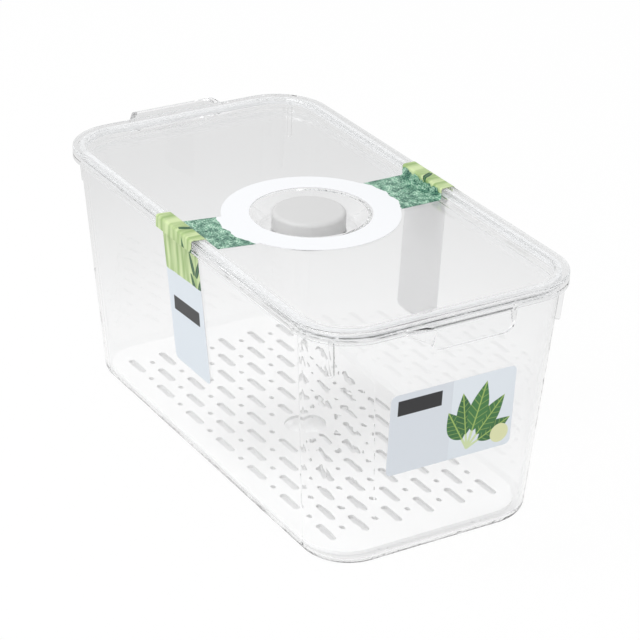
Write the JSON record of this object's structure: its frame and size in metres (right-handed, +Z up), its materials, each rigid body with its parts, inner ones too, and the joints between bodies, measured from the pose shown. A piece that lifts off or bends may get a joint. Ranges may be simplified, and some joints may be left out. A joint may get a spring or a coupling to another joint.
{
  "type": "produce keeper",
  "caption": "Clear plastic produce keeper with a lift-off lid, a turning vent knob in a round dish, a perforated drain tray and hooded grips at the ends.",
  "frame": {"origin": "on the ground under the middle of the tub's base", "axes": "+Z up, X along the long sides with +X at the end with the rectangular label, Y across, with the near long side at -Y"},
  "size_m": [0.3358, 0.1676, 0.1479],
  "materials": {
    "tub_plastic": "clear moulded styrene, polished, very light grey in thick edges",
    "lid_plastic": "clear moulded styrene, polished, very light grey in thick edges",
    "seal_silicone": "translucent silicone, matt",
    "knob_plastic": "light grey moulded plastic, fine satin",
    "shutter_plastic": "pale grey moulded plastic, satin",
    "tray_plastic": "white moulded plastic, satin",
    "band_print": "printed film with a soft sheen, green leaf pattern above pale blue-grey",
    "front_print": "printed film with a soft sheen, pale blue-grey with plain dark bars"
  },
  "bodies": {
    "tub_body": {"tub": "tub_plastic", "label_front": "front_print", "label_leg_near": "band_print", "label_leg_far": "band_print"},
    "lid_body": {"lid": "lid_plastic", "lid_seal": "seal_silicone", "vent_seal": "seal_silicone", "label_band": "band_print"},
    "vent_body": {"vent_knob": "knob_plastic", "vent_shutter": "shutter_plastic"},
    "tray_body": {"drain_tray": "tray_plastic"}
  },
  "joints": [
    {"name": "lid_lift", "type": "slide", "parent": "tub_body", "child": "lid_body", "axis": [0, 0, 1], "range_m": [0, 0.18]},
    {"name": "vent_turn", "type": "hinge", "parent": "lid_body", "child": "vent_body", "pos_m": [0, 0, 0.1284], "axis": [0, 0, 1], "range_deg": [0, 45]},
    {"name": "tray_lift", "type": "slide", "parent": "tub_body", "child": "tray_body", "axis": [0, 0, 1], "range_m": [0, 0.1]}
  ]
}
